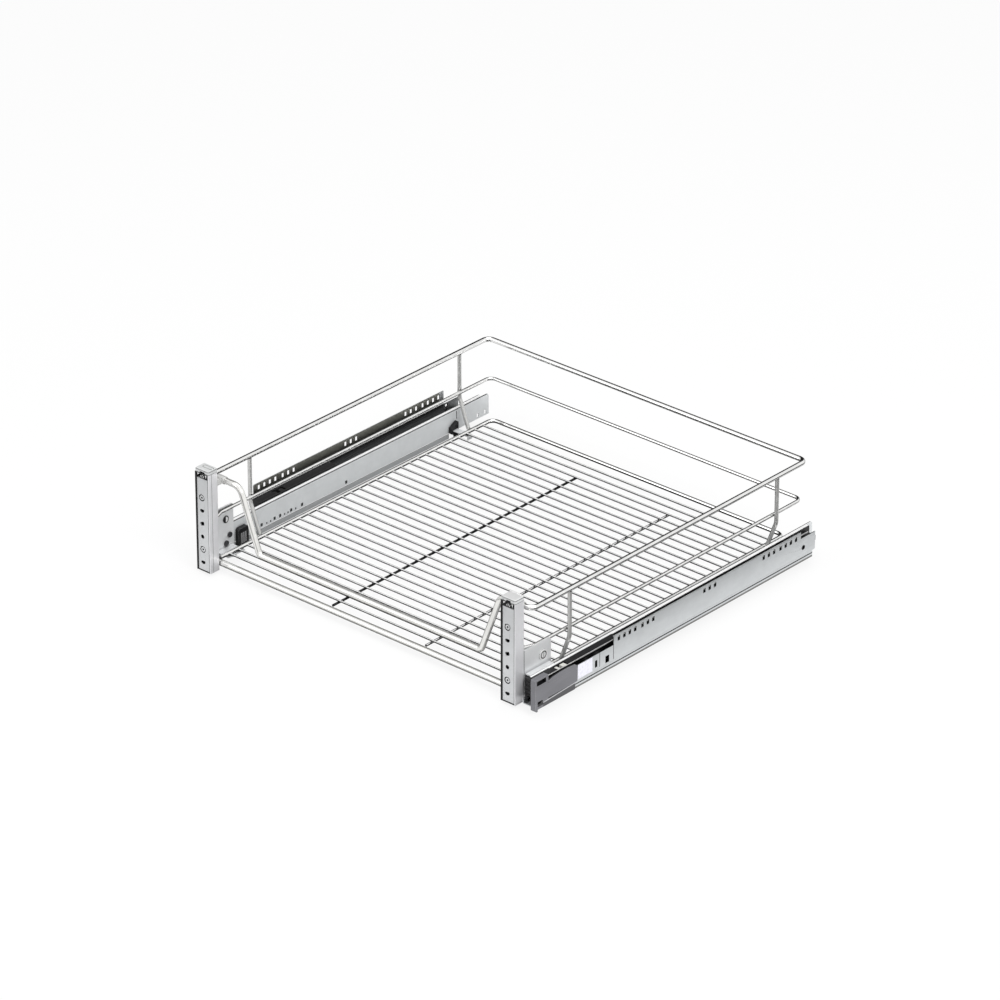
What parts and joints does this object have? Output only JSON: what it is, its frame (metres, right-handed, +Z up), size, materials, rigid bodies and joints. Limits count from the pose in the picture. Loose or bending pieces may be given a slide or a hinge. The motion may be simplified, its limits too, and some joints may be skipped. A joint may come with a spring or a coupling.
{
  "type": "pull-out basket drawer",
  "caption": "Pull-out wire basket drawer on concealed soft-close full-extension runners, with front posts that take a drawer front",
  "frame": {"origin": "middle of the width, in the plane of the fronts of the two posts, level with the bottom ends of the posts", "axes": "+X across the cabinet to the right seen from the front, +Y from the front to the back of the cabinet, +Z up; the drawer opens along -Y"},
  "size_m": [0.567, 0.528, 0.1385],
  "materials": {
    "basket_wire": "bright chrome-plated steel wire",
    "post_sheet": "pale grey coated sheet steel",
    "face_sheet": "zinc-plated sheet steel, satin",
    "bracket_sheet": "zinc-plated sheet steel, satin",
    "black_plastic": "moulded, matt black",
    "cap_plastic": "moulded, light grey",
    "runner_sheet": "galvanised sheet steel, satin",
    "bright_sheet": "bright zinc-plated sheet steel",
    "grey_plastic": "moulded, dark grey",
    "roller_plastic": "moulded white nylon",
    "fastener_steel": "zinc-plated steel",
    "label_film": "plain pale film without print"
  },
  "bodies": {
    "cabinet_rails": {"cabinet_rail_left": "runner_sheet", "cabinet_rail_right": "runner_sheet", "front_housing_left": "grey_plastic", "front_housing_right": "grey_plastic", "label_plate": "label_film"},
    "drawer": {"bracket_studs_left": "fastener_steel", "bracket_studs_right": "fastener_steel", "cap_clip_left": "black_plastic", "cap_clip_right": "black_plastic", "drawer_rail_left": "runner_sheet", "drawer_rail_right": "runner_sheet", "face_plate_left": "face_sheet", "face_plate_right": "face_sheet", "floor_frame": "basket_wire", "floor_wires": "basket_wire", "front_bracket_left": "bracket_sheet", "front_bracket_right": "bracket_sheet", "front_drop_rail": "basket_wire", "front_floor_tube": "basket_wire", "latch_block_left": "black_plastic", "latch_block_right": "black_plastic", "mid_rail": "basket_wire", "plate_studs_left": "fastener_steel", "plate_studs_right": "fastener_steel", "post_cap_left": "cap_plastic", "post_cap_right": "cap_plastic", "post_left": "post_sheet", "post_liner_left": "black_plastic", "post_liner_right": "black_plastic", "post_right": "post_sheet", "rail_clamp_left": "bracket_sheet", "rail_clamp_right": "bracket_sheet", "rail_end_caps": "black_plastic", "rail_stop_left": "black_plastic", "rail_stop_right": "black_plastic", "rear_hook_left": "black_plastic", "rear_hook_right": "black_plastic", "rear_tie_left": "bracket_sheet", "rear_tie_right": "bracket_sheet", "struts": "basket_wire", "support_wires": "basket_wire", "top_rail": "basket_wire"},
    "cam_left": {"adjusting_cam_left": "fastener_steel"},
    "cam_right": {"adjusting_cam_right": "fastener_steel"},
    "catch_left": {"closing_catch_left": "roller_plastic"},
    "catch_right": {"closing_catch_right": "roller_plastic"},
    "inner_cage_left": {"inner_cage_left": "black_plastic", "inner_rollers_left": "roller_plastic"},
    "inner_cage_right": {"inner_cage_right": "black_plastic", "inner_rollers_right": "roller_plastic"},
    "middle_left": {"damper_cylinder_left": "fastener_steel", "damper_housing_left": "black_plastic", "middle_rail_left": "bright_sheet"},
    "middle_right": {"damper_cylinder_right": "fastener_steel", "damper_housing_right": "black_plastic", "middle_rail_right": "bright_sheet"},
    "outer_cage_left": {"outer_cage_left": "black_plastic", "outer_rollers_left": "roller_plastic"},
    "outer_cage_right": {"outer_cage_right": "black_plastic", "outer_rollers_right": "roller_plastic"}
  },
  "joints": [
    {"name": "drawer_slide", "type": "slide", "parent": "cabinet_rails", "child": "drawer", "axis": [0, -1, 0], "range_m": [0, 0.48]},
    {"name": "middle_slide_left", "type": "slide", "parent": "cabinet_rails", "child": "middle_left", "axis": [0, -1, 0], "range_m": [0, 0.24]},
    {"name": "outer_cage_slide_left", "type": "slide", "parent": "cabinet_rails", "child": "outer_cage_left", "axis": [0, -1, 0], "range_m": [0, 0.12]},
    {"name": "inner_cage_slide_left", "type": "slide", "parent": "cabinet_rails", "child": "inner_cage_left", "axis": [0, -1, 0], "range_m": [0, 0.36]},
    {"name": "catch_slide_left", "type": "slide", "parent": "middle_left", "child": "catch_left", "axis": [0, -1, 0], "range_m": [0, 0.026], "stiffness_N_per_m": 60, "springref_m": -0.01},
    {"name": "cam_turn_left", "type": "hinge", "parent": "drawer", "child": "cam_left", "pos_m": [-0.25, 0.0475, 0.0475], "axis": [1, 0, 0], "range_deg": [-90, 90]},
    {"name": "middle_slide_right", "type": "slide", "parent": "cabinet_rails", "child": "middle_right", "axis": [0, -1, 0], "range_m": [0, 0.24]},
    {"name": "outer_cage_slide_right", "type": "slide", "parent": "cabinet_rails", "child": "outer_cage_right", "axis": [0, -1, 0], "range_m": [0, 0.12]},
    {"name": "inner_cage_slide_right", "type": "slide", "parent": "cabinet_rails", "child": "inner_cage_right", "axis": [0, -1, 0], "range_m": [0, 0.36]},
    {"name": "catch_slide_right", "type": "slide", "parent": "middle_right", "child": "catch_right", "axis": [0, -1, 0], "range_m": [0, 0.026], "stiffness_N_per_m": 60, "springref_m": -0.01},
    {"name": "cam_turn_right", "type": "hinge", "parent": "drawer", "child": "cam_right", "pos_m": [0.25, 0.0475, 0.0475], "axis": [1, 0, 0], "range_deg": [-90, 90]}
  ],
  "couplings": [
    {"joint": "middle_slide_left", "follows": "drawer_slide", "ratio": 0.5},
    {"joint": "outer_cage_slide_left", "follows": "drawer_slide", "ratio": 0.25},
    {"joint": "inner_cage_slide_left", "follows": "drawer_slide", "ratio": 0.75},
    {"joint": "middle_slide_right", "follows": "drawer_slide", "ratio": 0.5},
    {"joint": "outer_cage_slide_right", "follows": "drawer_slide", "ratio": 0.25},
    {"joint": "inner_cage_slide_right", "follows": "drawer_slide", "ratio": 0.75}
  ]
}
